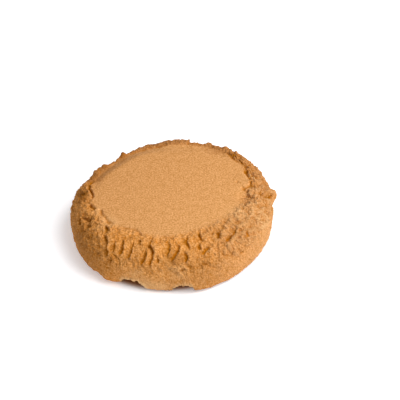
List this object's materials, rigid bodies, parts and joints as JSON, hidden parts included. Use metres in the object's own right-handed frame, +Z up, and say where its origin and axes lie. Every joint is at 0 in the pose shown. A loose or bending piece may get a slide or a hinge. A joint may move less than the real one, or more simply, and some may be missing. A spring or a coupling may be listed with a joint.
{
  "type": "butter cookie",
  "caption": "Thick round butter cookie with a smooth pressed disc on top and a cracked, crumbly rim that bulges out widest at the front.",
  "frame": {"origin": "centre of the underside, which lies on the table", "axes": "+Z up through the pressed disc, -Y towards the widest, ridged side of the rim, +X to the right"},
  "size_m": [0.0712, 0.0728, 0.0155],
  "materials": {
    "baked_dough": "matte"
  },
  "bodies": {
    "root": {"cookie": "baked_dough"}
  },
  "joints": []
}
